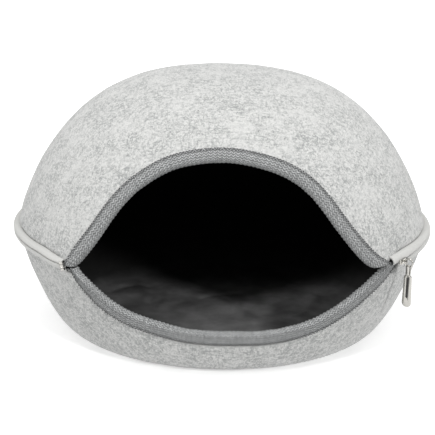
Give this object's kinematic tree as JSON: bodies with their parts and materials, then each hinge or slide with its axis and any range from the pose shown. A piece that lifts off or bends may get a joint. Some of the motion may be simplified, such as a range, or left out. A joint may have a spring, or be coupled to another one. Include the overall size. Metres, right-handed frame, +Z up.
{
  "type": "zipped felt cat cave",
  "caption": "Round felt cat bed: a domed top zipped to a flat-based bowl, with a lined hollow and a bound, eye-shaped mouth at the front.",
  "frame": {"origin": "centre of the flat base, on the surface it stands on", "axes": "+X to the right seen from the front, -Y out of the mouth, +Z up"},
  "size_m": [0.4597, 0.4188, 0.285],
  "materials": {
    "felt": "light grey mottled felt",
    "lining": "black cloth",
    "binding": "mid grey knitted tape",
    "zip_tape": "pale grey smooth tape",
    "metal": "bright nickel plate"
  },
  "bodies": {
    "root": {"upper_shell": "felt", "lower_shell": "felt", "upper_lining": "lining", "lower_lining": "lining", "upper_binding": "binding", "lower_binding": "binding", "upper_zip_tape": "zip_tape", "lower_zip_tape": "zip_tape", "zip_slider": "metal", "pull_ring": "metal", "pull_tab": "metal", "zip_end_stop": "metal"}
  },
  "joints": []
}
